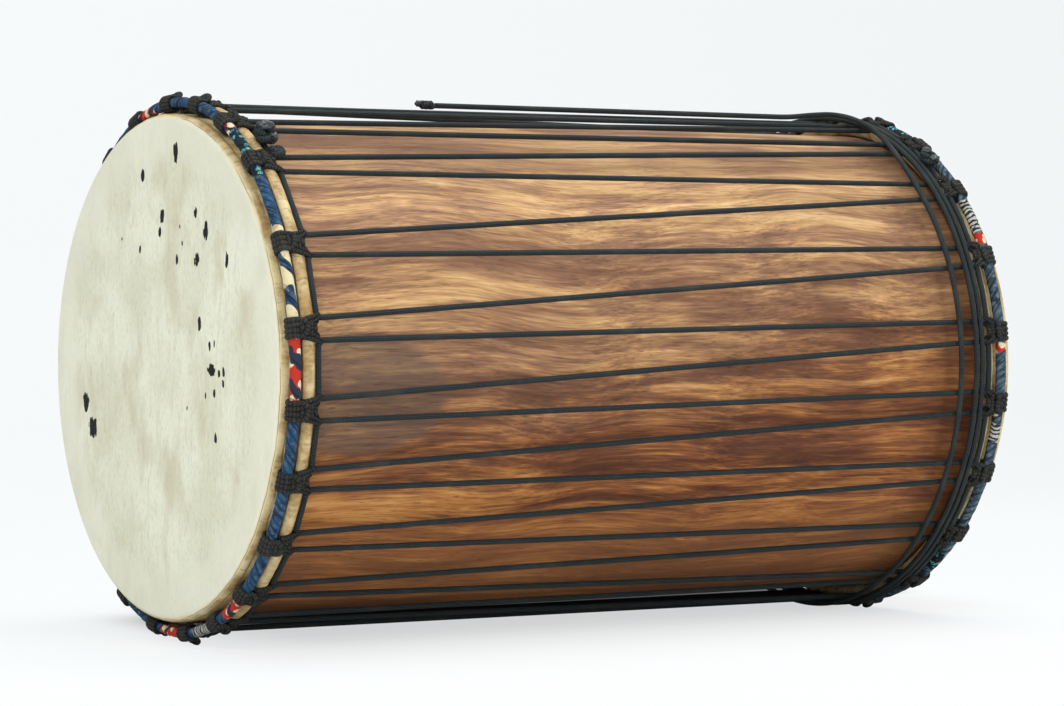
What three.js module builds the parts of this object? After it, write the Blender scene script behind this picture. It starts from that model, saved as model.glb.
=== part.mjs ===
// A dunun: a large West African drum with a hollowed wooden log for a shell and a hide head on each end.
// It lies on its side, as it is stored and as it is played with sticks. X runs along the drum, from the front
// head at -X to the back head at +X, +Z is up, and all lengths are in millimetres.
// Each hide is rolled round a steel flesh ring. A second steel ring, the crown ring, is wound with printed cotton
// and sits on the rolled edge. Short loops of doubled rope are hitched on the crown rings, and one long rope laced
// through them draws the two rings together and tunes the heads.
import * as THREE from "three";

// The shell.
const shellLength = 680;
const shellRadius = 195;
const shellWall = 20;
const bearingRound = 4;
const bearingBevel = 9;

// The heads and the rings.
const hideThickness = 2;
const seatGap = 0.3;
const fleshSteelRadius = 3.5;
const crownSteelRadius = 3;
const clothThickness = 0.6;
const crownRaise = 1.4;
const frontRingDrop = 8;
const backRingDrop = 18.4;
// The front crown ring sits askew: it is drawn this much further along the shell on the side at +Y than at -Y.
const frontRingLean = 11;
const ringSegments = 40;
const ringSides = 6;

// The rope, and the doubled rope of the ring loops, which is pulled flat.
const ropeRadius = 2.2;
const ropeSides = 5;
const windingSides = 6;
const loopWidth = 8;
const loopThickness = 2.6;
const loopGap = 0.4;
const wrapGap = 0.7;
const loopTurn = 4.3;
const loopTilt = 20;
const loopShoulder = 6.3;
const loopOverlap = 0.5;

// The lacing. It runs from corner to corner of the ring loops, and its bends are cornerBend long.
const cornerSpread = 8.4;
const cornerBend = 3;
const frontRun = { angle: 25, gap: 0.8 };
const backRun = { angle: 70, gap: 0.9 };
const lacingStandoff = 7.9;
const lacingDip = 22;

// Where the ring loops sit round the drum: degrees from straight down, turning towards the side at -Y.
// The loops listed are the ones in view, and the rest are spread evenly over what is left of the circle.
const loopCount = 22;
const frontLoopAngles = [183, 168.5, 154.8, 139, 117.2, 98.9, 82.2, 67.1, 51.6, 35.6, 20.8, 5.6, -10.5];
const backLoopAngles = [182.5, 166.5, 151.5, 134.3, 115.4, 97.5, 81.3, 64.4, 47, 28, 9, -6.5];

// The spare rope lies along the top and is then wound round the back end over the lacing. Its turns are measured
// from the back face, and each moves on to its next place on the side of the drum away from the photo's.
const windingFirst = 62.5;
const windingSecond = 48;
const windingPitch = 5;
const windingStep = 15;
const windingFrom = 130;
const windingTo = -860;
const windingShift = { from: -135, to: -230 };
const leadLength = 382;
const leadRise = 5.8;
const leadAngles = [177, 176.4, 175.7, 175, 174, 170, 164.5, 158, 151, 144, 137];
const leadLengthShares = [1, 0.7, 0.39, 0.093, 0.04, 0.01, -0.004, -0.013, -0.0105, -0.005, -0.001];
const leadRiseShares = [0, 0, 0, 0, 0.45, 0.88, 1, 0.88, 0.5, 0.2, 0.05];

// The knots, each a trefoil of the rope drawn tight.
const knotSteps = 22;
const knotSides = 5;
const jointKnot = { size: 6, rope: 2.1, angle: 146.5, bed: 0.75 };
const windingKnot = { size: 4.8, rope: 1.8, angle: 143, bed: 0.8 };
const topKnot = { size: 4.2, rope: 1.6 };

const hideColour = 0xe6e0c8;
const woodColour = 0x8a4f2a;
const ropeColour = 0x23282b;
const clothColour = 0x2b466f;
const steelColour = 0x7d8084;

// Radii and places that follow from the sizes above.
const halfLength = shellLength / 2 + seatGap + hideThickness;
const collarRadius = shellRadius + seatGap + hideThickness;
const rollRadius = fleshSteelRadius + seatGap + hideThickness;
const fleshRingRadius = collarRadius + seatGap + fleshSteelRadius;
const crownRadius = crownSteelRadius + seatGap + clothThickness;
const crownRingRadius = collarRadius + loopGap + loopThickness + loopGap + crownRadius + crownRaise;
const ringSpacing = crownRadius + loopGap + loopThickness + loopGap + rollRadius;
const rollOffset = new THREE.Vector2(0, fleshRingRadius - crownRingRadius);
rollOffset.x = Math.sqrt(ringSpacing ** 2 - rollOffset.y ** 2);

// A turned ring is faceted, so its corners are put a little outside its true radius and its flats a little inside.
const facetShare = 2 / (1 + Math.cos(Math.PI / ringSegments));

const radians = (degrees) => (degrees * Math.PI) / 180;
const polar = (radius, degrees) =>
  new THREE.Vector2(radius * Math.cos(radians(degrees)), radius * Math.sin(radians(degrees)));
const range = (count) => Array.from({ length: count }, (_, i) => i);
const spread = (count, from, to) => range(count).map((i) => from + ((to - from) * i) / (count - 1));

// Points that go round the drum: x along it, radius from its axis, degrees from straight down towards -Y.
const around = (x, radius, degrees) =>
  new THREE.Vector3(x, -radius * Math.sin(radians(degrees)), -radius * Math.cos(radians(degrees)));
const outward = (degrees) => around(0, 1, degrees);

const material = (color, roughness, metalness = 0) =>
  new THREE.MeshStandardMaterial({ color, roughness, metalness });
const hide = material(hideColour, 0.75);
const wood = material(woodColour, 0.45);
const rope = material(ropeColour, 0.7);
const cloth = material(clothColour, 0.9);
const steel = material(steelColour, 0.4, 1);

const drum = new THREE.Group();

function add(name, geometry, finish) {
  const mesh = new THREE.Mesh(geometry, finish);
  mesh.name = name;
  drum.add(mesh);
  return mesh;
}

// Turns a closed outline of (x, radius) points round the drum's axis.
function revolve(outline) {
  const points = outline.map((p) => new THREE.Vector2(p.y * facetShare, p.x));
  if (THREE.ShapeUtils.area(points) < 0) points.reverse();
  if (points[0].x > 0) points.push(points[0].clone());
  return new THREE.LatheGeometry(points, ringSegments).rotateZ(-Math.PI / 2);
}

// Sweeps a section along stations that each have a point and the direction that the section's top faces.
function sweep(stations, section, closed) {
  const count = stations.length;
  const positions = [];
  stations.forEach(({ point, top, widthShare = 1 }, i) => {
    const before = stations[closed ? (i + count - 1) % count : Math.max(i - 1, 0)].point;
    const after = stations[closed ? (i + 1) % count : Math.min(i + 1, count - 1)].point;
    const arriving = point.clone().sub(before).normalize();
    const leaving = after.clone().sub(point).normalize();
    const along = arriving.add(leaving).normalize();
    const up = top.clone().addScaledVector(along, -top.dot(along)).normalize();
    const across = along.clone().cross(up);
    section.forEach(([wide, high]) => {
      const corner = point.clone().addScaledVector(across, wide * widthShare).addScaledVector(up, high);
      positions.push(corner.x, corner.y, corner.z);
    });
  });
  const sides = section.length;
  const index = [];
  range(closed ? count : count - 1).forEach((i) => {
    range(sides).forEach((j) => {
      const a = i * sides + j;
      const b = i * sides + ((j + 1) % sides);
      const c = ((i + 1) % count) * sides + ((j + 1) % sides);
      const d = ((i + 1) % count) * sides + j;
      index.push(a, d, b, b, d, c);
    });
  });
  if (!closed) {
    const last = (count - 1) * sides;
    range(sides - 2).forEach((j) => {
      index.push(0, j + 1, j + 2);
      index.push(last, last + j + 2, last + j + 1);
    });
  }
  const geometry = new THREE.BufferGeometry();
  geometry.setAttribute("position", new THREE.Float32BufferAttribute(positions, 3));
  geometry.setIndex(index);
  return geometry;
}

const roundSection = (radius, sides) =>
  range(sides).map((i) => {
    const corner = polar(radius, (360 * i) / sides);
    return [corner.x, corner.y];
  });

// The least gap between two stretches of a rope that are further apart along it than the reach.
function leastGap(stations, radius, reach) {
  const path = new THREE.CurvePath();
  stations.slice(1).forEach((s, i) => path.add(new THREE.LineCurve3(stations[i].point, s.point)));
  const samples = path.getSpacedPoints(Math.ceil(path.getLength() / radius));
  const skip = Math.ceil(reach / radius);
  let least = Infinity;
  samples.forEach((p, i) => {
    for (let j = i + skip; j < samples.length; j += 1) least = Math.min(least, p.distanceTo(samples[j]));
  });
  return least - 2 * radius;
}

// The two ends of the drum. Axial places count from the crown ring towards the middle of the drum, and heights
// count outwards from the crown ring.
function drumEnd(side, ringDrop, lean, run, viewed) {
  const first = viewed[0] - 360;
  const hidden = loopCount - viewed.length;
  const last = viewed[viewed.length - 1];
  const unseen = range(hidden).map((i) => last + ((first - last) * (i + 1)) / (hidden + 1));
  const runPlace = polar(rollRadius + run.gap + ropeRadius, run.angle).add(rollOffset);
  const lowRun = runPlace.y < 0;
  return {
    side,
    run: runPlace,
    underAxial: lowRun ? runPlace.x + cornerBend + loopTurn / 3 : lacingDip,
    lineRadius: lowRun ? crownRingRadius + runPlace.y : collarRadius + lacingStandoff,
    angles: [...viewed, ...unseen],
    x: (axial) => side * (halfLength - ringDrop - axial),
    leanAt: (y) => (-side * lean * (crownRingRadius + y)) / (2 * crownRingRadius),
    place(angle, along, axial, height) {
      const degrees = angle + THREE.MathUtils.radToDeg(along / crownRingRadius);
      return around(this.x(axial), crownRingRadius + height, degrees);
    },
    facing(angle, along, axial, height) {
      const tangent = outward(angle + 90);
      return outward(angle).multiplyScalar(height).addScaledVector(tangent, along).setX(-side * axial);
    },
  };
}
const front = drumEnd(-1, frontRingDrop, frontRingLean, frontRun, frontLoopAngles);
const back = drumEnd(1, backRingDrop, 0, backRun, backLoopAngles);

// Moves a piece's points along the drum with a leaning crown ring, each by its share of the lean.
function leaned(end, geometry, shareAt = () => 1) {
  const points = geometry.getAttribute("position");
  range(points.count).forEach((i) => {
    const x = points.getX(i);
    points.setX(i, x + end.leanAt(points.getY(i)) * shareAt(x));
  });
  return geometry;
}

// The shell: outside straight, the bearing edges rounded where the hide bends over them and bevelled inside.
function shellGeometry() {
  const boreRadius = shellRadius - shellWall;
  const half = shellLength / 2;
  const endOutline = (side) => [
    new THREE.Vector2(side * (half - bearingBevel), boreRadius),
    new THREE.Vector2(side * half, boreRadius + bearingBevel),
    ...spread(3, 90, 0).map((a) =>
      polar(bearingRound, a).multiply(new THREE.Vector2(side, 1)).add(
        new THREE.Vector2(side * (half - bearingRound), shellRadius - bearingRound),
      ),
    ).map((p, i, all) => all[all.length - 1 - i]),
  ];
  return revolve([...endOutline(-1), ...endOutline(1).reverse()]);
}
add("shell", shellGeometry(), wood);

// A head: the playing disc, the bend over the bearing edge, the collar down the side of the shell, and the edge
// rolled round the flesh ring and left open under the crown ring.
function headGeometry(end) {
  const rim = new THREE.Vector2(shellLength / 2 - bearingRound, shellRadius - bearingRound);
  const inner = bearingRound + seatGap;
  const outer = inner + hideThickness;
  const roll = new THREE.Vector2(Math.abs(end.x(rollOffset.x)), fleshRingRadius);
  const rollInner = rollRadius - hideThickness;
  const bend = (radius) => spread(4, 0, 90).map((a) => polar(radius, a).add(rim));
  const hook = (radius) => spread(5, 270, 30).map((a) => polar(radius, a).add(roll));
  const outline = [
    new THREE.Vector2(halfLength, 0),
    ...bend(outer),
    ...hook(rollInner),
    ...hook(rollRadius).reverse(),
    ...bend(inner).reverse(),
    new THREE.Vector2(rim.x + inner, 0),
  ];
  const turned = revolve(outline.map((p) => new THREE.Vector2(end.side * p.x, p.y)));
  return leaned(end, turned, (x) => (Math.abs(x) < rim.x - seatGap ? 1 : 0));
}

const circle = (radius, centre, turn) =>
  range(ringSides).map((i) => polar(radius, turn + (360 * i) / ringSides).add(centre));

// The cotton wrap is open on the side of the ring that faces the shell, where its edges meet.
function clothGeometry(centre) {
  const arc = (radius) => spread(ringSides, -60, 240).map((a) => polar(radius, a).add(centre));
  return revolve([...arc(crownRadius), ...arc(crownSteelRadius + seatGap).reverse()]);
}

function ringsGeometry(end) {
  const flesh = revolve(circle(fleshSteelRadius, new THREE.Vector2(end.x(rollOffset.x), fleshRingRadius), 30));
  const crown = revolve(circle(crownSteelRadius, new THREE.Vector2(end.x(0), crownRingRadius), 0));
  const cloth = clothGeometry(new THREE.Vector2(end.x(0), crownRingRadius));
  return { flesh: leaned(end, flesh), crown: leaned(end, crown), cloth: leaned(end, cloth) };
}

// A ring loop. Its bar lies over its own two legs, and from the bar's ends the rope goes round the crown ring,
// comes out between the rings under the bar, and crosses the rolled edge to hold the corners of the lacing.
const loopShares = [[-1, -1], [1, -1], [0.65, 1], [-0.65, 1]];
const loopSection = loopShares.map(([wide, high]) => [(wide * loopWidth) / 2, (high * loopThickness) / 2]);
const narrowShare = 0.55;
const shoulderShare = 0.65;

function loopGeometry(end, angle) {
  const half = loopThickness / 2;
  const lift = (wrapGap + half) / Math.cos(Math.PI / ringSides);
  const ringPlaces = range(5).map((i) => ({
    along: loopTurn,
    plane: polar(crownRadius + lift, 60 * (i + 1)),
    top: [0, ...polar(1, 60 * (i + 1))],
  }));
  const tilt = polar(1, loopTilt);
  const barPlane = ringPlaces[0].plane.clone().addScaledVector(tilt, loopTurn * Math.cos(Math.PI / 6));
  barPlane.add(new THREE.Vector2(-tilt.y, tilt.x).multiplyScalar(seatGap));
  const rise = polar(1, 60);
  const shoulder = polar((crownRadius + lift) * Math.cos(Math.PI / 6), -30).addScaledVector(rise, loopShoulder);
  const hold = (ropeRadius + loopGap + half) / Math.cos(Math.PI / 8);
  const bendMiddle = cornerBend / 2;
  const diagonal = hold * Math.SQRT1_2;
  const outside = cornerSpread + bendMiddle + diagonal;
  const overCorner = end.run.clone().add(new THREE.Vector2(loopOverlap, hold));
  const besideCorner = end.run.clone().add(new THREE.Vector2(bendMiddle + hold / 2, diagonal));
  const under = new THREE.Vector2(end.underAxial, end.lineRadius - crownRingRadius - hold);
  const sequence = [
    { along: loopTurn / 2, plane: barPlane, top: [0, -tilt.y, tilt.x] },
    ...ringPlaces,
    { along: loopTurn + seatGap, plane: shoulder, top: [0, ...polar(1, -60)] },
    { along: cornerSpread + bendMiddle, plane: overCorner, top: [0, 0, -1], widthShare: shoulderShare },
    {
      along: cornerSpread + bendMiddle + hold / 2,
      plane: besideCorner,
      top: [-0.5, -0.5, -Math.SQRT1_2],
      widthShare: narrowShare,
    },
    {
      along: outside,
      plane: end.run.clone().add(new THREE.Vector2(bendMiddle + diagonal, 0)),
      top: [-Math.SQRT1_2, -Math.SQRT1_2, 0],
      widthShare: narrowShare,
    },
    { along: outside - bendMiddle / 2, plane: under, top: [0, 0, 1], widthShare: narrowShare },
  ];
  const station = ({ along, plane, top, widthShare }, mirror) => ({
    point: end.place(angle, mirror * along, plane.x, plane.y),
    top: end.facing(angle, mirror * top[0], top[1], top[2]),
    widthShare,
  });
  const stations = [
    ...sequence.map((s) => station(s, 1)),
    ...sequence.map((s) => station(s, -1)).reverse(),
  ];
  return leaned(end, sweep(end.side > 0 ? stations : stations.reverse(), loopSection, true));
}

[["front", front], ["back", back]].forEach(([name, end]) => {
  const rings = ringsGeometry(end);
  add(name + "_head", headGeometry(end), hide);
  add(name + "_flesh_ring", rings.flesh, steel);
  add(name + "_crown_ring", rings.crown, steel);
  add(name + "_ring_cloth", rings.cloth, cloth);
  end.angles.forEach((angle, i) => {
    add(name + "_loop_" + String(i + 1).padStart(2, "0"), loopGeometry(end, angle), rope);
  });
});

// The lacing, one rope all the way. It comes out of a loop at the front, runs the length of the drum, turns along
// the back ring to the next loop, runs back to the front, and turns along the front ring to the loop after.
const degreesAlong = (length) => THREE.MathUtils.radToDeg(length / crownRingRadius);
const lineRadius = collarRadius + lacingStandoff;

// The stations where the rope turns a corner of a loop, from the run beside the ring to the line along the drum.
function cornerStations(end, loopAngle, sign) {
  const corner = loopAngle + sign * degreesAlong(cornerSpread);
  const turned = corner + sign * degreesAlong(cornerBend);
  const runRadius = crownRingRadius + end.run.y;
  const places = [
    [end.x(end.run.x), runRadius, turned],
    [end.x(end.run.x + cornerBend), runRadius - seatGap, corner],
  ];
  if (end.side > 0) places.push([end.x(lacingDip), lineRadius, corner]);
  return places.map(([x, radius, angle]) => ({ point: around(x, radius, angle), top: outward(angle) }));
}

function lacingStations() {
  const stations = [];
  for (let i = loopCount - 1; i >= 0; i -= 1) {
    const near = back.angles[i];
    const far = i > 0 ? back.angles[i - 1] : back.angles[loopCount - 1] + 360;
    const middle = (near + far) / 2;
    const radius = crownRingRadius + back.run.y;
    stations.push(...cornerStations(front, front.angles[i], -1));
    stations.push(...cornerStations(back, near, 1).reverse());
    stations.push({ point: around(back.x(back.run.x), radius, middle), top: outward(middle) });
    stations.push(...cornerStations(back, far, -1));
    stations.push(...cornerStations(front, front.angles[i], 1).reverse());
  }
  return stations;
}
const lineStart = front.x(front.run.x + cornerBend);
const lineEnd = back.x(lacingDip);
const alongLines = (x) => THREE.MathUtils.clamp((lineEnd - x) / (lineEnd - lineStart), 0, 1);
const lacing = sweep(lacingStations(), roundSection(ropeRadius, ropeSides), true);
add("lacing", leaned(front, lacing, alongLines), rope);

// The spare rope, whose turns must not touch each other. Its steps are straight, so its stations stand out a
// little to keep the middles of the steps clear of the lacing.
const windingRadius = (lineRadius + 2 * ropeRadius + loopGap) / Math.cos(radians(windingStep / 2));
const fromBack = (distance) => halfLength - distance;
const windingThird = windingSecond - windingPitch;
const windingPlaces = [windingFirst, windingSecond, windingThird, windingThird];

function windingStations() {
  const lead = leadAngles.map((angle, i) => ({
    angle,
    distance: windingFirst + leadLength * leadLengthShares[i],
    radius: windingRadius + leadRise * leadRiseShares[i],
  }));
  const turns = [];
  for (let angle = windingFrom; angle >= windingTo; angle -= windingStep) {
    const turn = Math.floor((windingFrom - angle) / 360);
    const shift = (windingShift.from - angle - 360 * turn) / (windingShift.from - windingShift.to);
    const place = THREE.MathUtils.lerp(windingPlaces[turn], windingPlaces[turn + 1], Math.max(shift, 0));
    turns.push({ angle, distance: place, radius: windingRadius });
  }
  return [...lead, ...turns].map(({ angle, distance, radius }) => ({
    point: around(fromBack(distance), radius, angle),
    top: outward(angle),
  }));
}
const winding = windingStations();
const windingGap = leastGap(winding, ropeRadius, 10 * ropeRadius);
console.log("least gap of the winding to itself, in mm: " + windingGap.toFixed(2));
add("tail_winding", sweep(winding, roundSection(ropeRadius, windingSides), false), rope);

// A knot lies flat on the rope it is tied on, and sinks between its strands by its bed.
function addKnot(name, knot, end, x, radius) {
  const geometry = new THREE.TorusKnotGeometry(knot.size, knot.rope, knotSteps, knotSides, 2, 3);
  const mesh = add(name, geometry, rope);
  mesh.position.copy(around(x, radius, knot.angle));
  mesh.position.x += end.leanAt(mesh.position.y);
  mesh.quaternion.setFromUnitVectors(new THREE.Vector3(0, 0, 1), outward(knot.angle));
}
const knotHeight = (knot) => knot.size / 2 + knot.rope;
const overRun = (end, knot) => crownRingRadius + end.run.y + ropeRadius + seatGap + knotHeight(knot) - knot.bed;
addKnot("joint_knot", jointKnot, front, front.x(front.run.x), overRun(front, jointKnot));
addKnot("winding_knot", windingKnot, back, back.x(back.run.x), overRun(back, windingKnot));
const topKnotReach = 1.5 * topKnot.size + topKnot.rope + seatGap;
const topKnotPlace = fromBack(windingFirst + leadLength + topKnotReach);
addKnot("top_knot", { ...topKnot, angle: leadAngles[0] }, back, topKnotPlace, windingRadius);

// The part's own place: its middle over the origin and its lowest point on the ground.
const bounds = new THREE.Box3().setFromObject(drum);
const middle = bounds.getCenter(new THREE.Vector3());
drum.position.set(-middle.x, -middle.y, -bounds.min.z);

export default drum;
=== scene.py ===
import math

import bmesh
import bpy
import numpy as np
from mathutils import Matrix, Vector, noise


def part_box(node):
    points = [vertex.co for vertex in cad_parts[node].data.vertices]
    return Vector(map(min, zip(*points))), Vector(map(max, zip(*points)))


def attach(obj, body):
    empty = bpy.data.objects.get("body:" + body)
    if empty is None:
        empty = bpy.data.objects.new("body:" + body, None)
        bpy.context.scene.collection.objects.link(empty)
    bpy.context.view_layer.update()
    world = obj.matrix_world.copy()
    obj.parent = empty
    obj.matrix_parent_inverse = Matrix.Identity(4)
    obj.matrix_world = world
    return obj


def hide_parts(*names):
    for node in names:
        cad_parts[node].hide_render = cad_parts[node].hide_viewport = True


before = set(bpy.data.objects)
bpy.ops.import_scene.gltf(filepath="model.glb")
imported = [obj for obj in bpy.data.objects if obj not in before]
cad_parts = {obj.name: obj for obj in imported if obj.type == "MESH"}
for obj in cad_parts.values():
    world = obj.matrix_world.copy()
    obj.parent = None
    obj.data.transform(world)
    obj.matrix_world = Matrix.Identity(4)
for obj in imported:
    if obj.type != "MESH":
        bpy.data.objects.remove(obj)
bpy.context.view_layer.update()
scene = bpy.context.scene

# The camera, where the photograph was taken from: in front of the drum and to its left, a little above its
# axis. Lengths are in metres here and below, unless a comment says otherwise.
shell_low, shell_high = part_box("shell")
axis_y, axis_z = (shell_low.y + shell_high.y) / 2, (shell_low.z + shell_high.z) / 2
camera_left, camera_away, camera_above = 1.5823, 2.5452, 0.0530
camera_dip_degrees, camera_turn_degrees = 0.842, 31.813

camera = bpy.data.objects.new("camera", bpy.data.cameras.new("camera"))
camera.location = (-camera_left, axis_y - camera_away, axis_z + camera_above)
camera.rotation_euler = (math.radians(90 - camera_dip_degrees), 0, math.radians(-camera_turn_degrees))
camera.data.lens = 122.76
scene.collection.objects.link(camera)
scene.camera = camera


# The studio: a paper sweep that the drum lies on, soft lamps, and a white surround that only the camera and
# what mirrors it see. The sweep glows for the camera, though not under the drum, where its colour is darkened
# into a painted shade, and its back face is clear, so that it never hides the drum.
class Value:
    """An output of a node, which Python's operators take as a number."""

    def __init__(self, tree, socket=None):
        self.tree, self.socket = tree, socket

    def node(self, kind, inputs=None, output=0, stops=None, **settings):
        made = self.tree.nodes.new(kind)
        for key, setting in settings.items():
            setattr(made, key, setting)
        if stops:
            ramp = made.color_ramp
            while len(ramp.elements) < len(stops):
                ramp.elements.new(0.5)
            for element, (place, colour) in zip(ramp.elements, stops):
                element.position, element.color = place, (*colour, 1)
        for key, given in (inputs or {}).items():
            if isinstance(given, Value):
                self.tree.links.new(given.socket, made.inputs[key])
            else:
                made.inputs[key].default_value = given
        return Value(self.tree, made.outputs[output])

    def math(self, operation, *others):
        return self.node("ShaderNodeMath", dict(enumerate([self, *others])), operation=operation)

    def __add__(self, other): return self.math("ADD", other)
    def __radd__(self, other): return self.math("ADD", other)
    def __sub__(self, other): return self.math("SUBTRACT", other)
    def __rsub__(self, other): return self.node("ShaderNodeMath", {0: other, 1: self}, operation="SUBTRACT")
    def __mul__(self, other): return self.math("MULTIPLY", other)
    def __truediv__(self, other): return self.math("DIVIDE", other)
    def __pow__(self, other): return self.math("POWER", other)
    def __abs__(self): return self.math("ABSOLUTE")

    def fade(self, start, end):
        """0 before start and 1 after end, or the other way round."""
        ends = {"Value": self, "From Min": start, "From Max": end}
        return self.node("ShaderNodeMapRange", ends, interpolation_type="SMOOTHSTEP")

    def blend(self, first, second):
        """A colour that goes from first to second as this goes from 0 to 1."""
        colours = [c if isinstance(c, Value) else (*c, 1) for c in (first, second)]
        inputs = {0: self, 6: colours[0], 7: colours[1]}
        return self.node("ShaderNodeMix", inputs, output=2, data_type="RGBA")


def new_material(name):
    material = bpy.data.materials.new(name)
    material.use_nodes = True
    return material, Value(material.node_tree), material.node_tree.nodes["Principled BSDF"]


def feed(shader, **sockets):
    for key, given in sockets.items():
        socket = shader.inputs[key.replace("_", " ")]
        if isinstance(given, Value):
            given.tree.links.new(given.socket, socket)
        else:
            socket.default_value = given


def seen_directly(values):
    rays = [values.node("ShaderNodeLightPath", output=name) for name in
            ("Is Camera Ray", "Is Glossy Ray", "Is Transmission Ray")]
    return rays[0].math("MAXIMUM", rays[1]).math("MAXIMUM", rays[2])


sweep_profile = [(-3.0, 0.0), (1.6, 0.0), (2.2, 0.08), (2.6, 0.35), (2.8, 0.9), (2.85, 4.0)]
sweep_sides = (-6.0, 7.0)
sweep_corner, sweep_size = (-6.0, -3.0, 0.0), (13.0, 5.85, 4.0)
sweep_mesh = bpy.data.meshes.new("floor")
sweep_mesh.from_pydata(
    [(x, y, z) for y, z in sweep_profile for x in sweep_sides], [],
    [(2 * i, 2 * i + 1, 2 * i + 3, 2 * i + 2) for i in range(len(sweep_profile) - 1)])
sweep_mesh.polygons.foreach_set("use_smooth", [True] * len(sweep_mesh.polygons))
floor = bpy.data.objects.new("floor", sweep_mesh)
scene.collection.objects.link(floor)
floor_paper, values, shader = new_material("floor paper")
spot = values.node("ShaderNodeTexCoord", output="Object")
share = values.node("ShaderNodeVectorMath", {0: spot, 1: sweep_corner}, operation="SUBTRACT")
share = values.node("ShaderNodeVectorMath", {0: share, 1: sweep_size}, operation="DIVIDE")
paper = values.node("ShaderNodeTexNoise", {"Vector": share, "Scale": 3.0, "Detail": 2.0})
spot_x, spot_y = (values.node("ShaderNodeSeparateXYZ", {0: spot}, output=axis) for axis in "XY")
beyond = spot_y - axis_y
# Painted shade: the paper's colour is darkened softly under the drum's near side, and to near black under and
# behind it.
half_shade = beyond.fade(-0.20, 0.06) * 0.22
full_shade = beyond.fade(0.070, 0.105) * 0.74
painted_shade = (half_shade + full_shade) * beyond.fade(0.30, 0.17)
painted_shade = painted_shade * spot_x.fade(-0.33, -0.20) * spot_x.fade(0.50, 0.39)
white = paper.blend((0.86, 0.88, 0.89), (0.90, 0.91, 0.915))
feed(shader, Base_Color=painted_shade.blend(white, (0.012, 0.012, 0.013)), Roughness=0.9)
lit = Value(values.tree, shader.outputs[0])
glow = values.node("ShaderNodeEmission", {"Color": (0.960, 0.982, 0.988, 1), "Strength": 1.0})
glow_share = values.node("ShaderNodeLightPath", output="Is Camera Ray") * (1 - painted_shade) * 0.80
glowing = values.node("ShaderNodeMixShader", {0: glow_share, 1: lit, 2: glow})
behind = values.node("ShaderNodeNewGeometry", output="Backfacing")
clear = values.node("ShaderNodeBsdfTransparent")
seen = values.node("ShaderNodeMixShader", {0: behind, 1: glowing, 2: clear})
values.tree.links.new(seen.socket, values.tree.nodes["Material Output"].inputs[0])
sweep_mesh.materials.append(floor_paper)

scene.view_settings.view_transform = "Standard"
world = bpy.data.worlds.new("studio")
world.use_nodes = True
scene.world = world
surround = Value(world.node_tree)
soft_light = surround.node("ShaderNodeBackground", {"Color": (0.93, 0.97, 1.0, 1), "Strength": 0.50})
white = surround.node("ShaderNodeBackground", {"Color": (0.93, 0.97, 0.98, 1), "Strength": 1.0})
mixed = surround.node("ShaderNodeMixShader", {0: seen_directly(surround), 1: soft_light, 2: white})
world.node_tree.links.new(mixed.socket, world.node_tree.nodes["World Output"].inputs[0])

for name, place, aim, size, power in (
        ("key", (-2.6, -2.2, 2.0), (-0.2, 0, 0.2), 1.6, 48),
        ("top", (0.4, -0.2, 2.4), (0.1, 0, 0.2), 1.8, 40),
        ("low", (0.6, -2.6, 0.45), (0.1, 0, 0.2), 1.2, 16)):
    lamp = bpy.data.objects.new(name, bpy.data.lights.new(name, "AREA"))
    lamp.data.size, lamp.data.energy, lamp.data.color = size, power, (1.0, 0.985, 0.96)
    lamp.location = place
    lamp.rotation_euler = (Vector(aim) - Vector(place)).to_track_quat("-Z", "Y").to_euler()
    scene.collection.objects.link(lamp)


# The shell: a hardwood log, hollowed and turned straight, and oiled to a satin. Each end has a rounded
# bearing edge, bevelled inside, that the hide bends over. The grain runs the length of the drum.
def around(x, radius, degrees):
    """Points by their place along the drum, their radius, and the turn from straight down towards -Y."""
    turn = np.radians(degrees)
    y, z = axis_y - radius * np.sin(turn), axis_z - radius * np.cos(turn)
    return np.stack(np.broadcast_arrays(x, y, z), -1)


def skin(name, grid, material, across=None, poles=False):
    """A smooth closed mesh through rows of points, with u round each row and v from row to row."""
    rows, steps = grid.shape[:2]
    used = rows - 1 if poles else rows
    i, j = (part.ravel() for part in np.meshgrid(np.arange(used), np.arange(steps), indexing="ij"))
    near, far, right = i * steps, ((i + 1) % rows) * steps, (j + 1) % steps
    mesh = bpy.data.meshes.new(name)
    mesh.from_pydata(grid.reshape(-1, 3), [], np.stack([near + j, near + right, far + right, far + j], -1))
    across = np.arange(rows + 1) / rows if across is None else np.append(across, across[0])
    u = np.stack([j, j + 1, j + 1, j], -1) / steps
    v = np.stack([across[i], across[i], across[i + 1], across[i + 1]], -1)
    mesh.uv_layers.new(name="turn").data.foreach_set("uv", np.stack([u, v], -1).ravel())
    mesh.polygons.foreach_set("use_smooth", [True] * len(mesh.polygons))
    shape = bmesh.new()
    shape.from_mesh(mesh)
    if poles:
        ends = [v for v in shape.verts if v.index < steps or v.index >= (rows - 1) * steps]
        bmesh.ops.remove_doubles(shape, verts=ends, dist=1e-6)
    bmesh.ops.recalc_face_normals(shape, faces=shape.faces)
    shape.to_mesh(mesh)
    shape.free()
    mesh.materials.append(material)
    piece = bpy.data.objects.new(name, mesh)
    scene.collection.objects.link(piece)
    return piece


def arc(centre, radius, start, end, steps):
    turn = np.radians(np.linspace(start, end, steps))
    return np.stack([centre[0] + radius * np.cos(turn), centre[1] + radius * np.sin(turn)], -1)


def turned(profile, steps):
    """Rows of points, one row for each (x, radius) of the profile."""
    degrees = np.linspace(0, 360, steps, endpoint=False)
    return np.stack([around(x, radius, degrees) for x, radius in profile])


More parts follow.
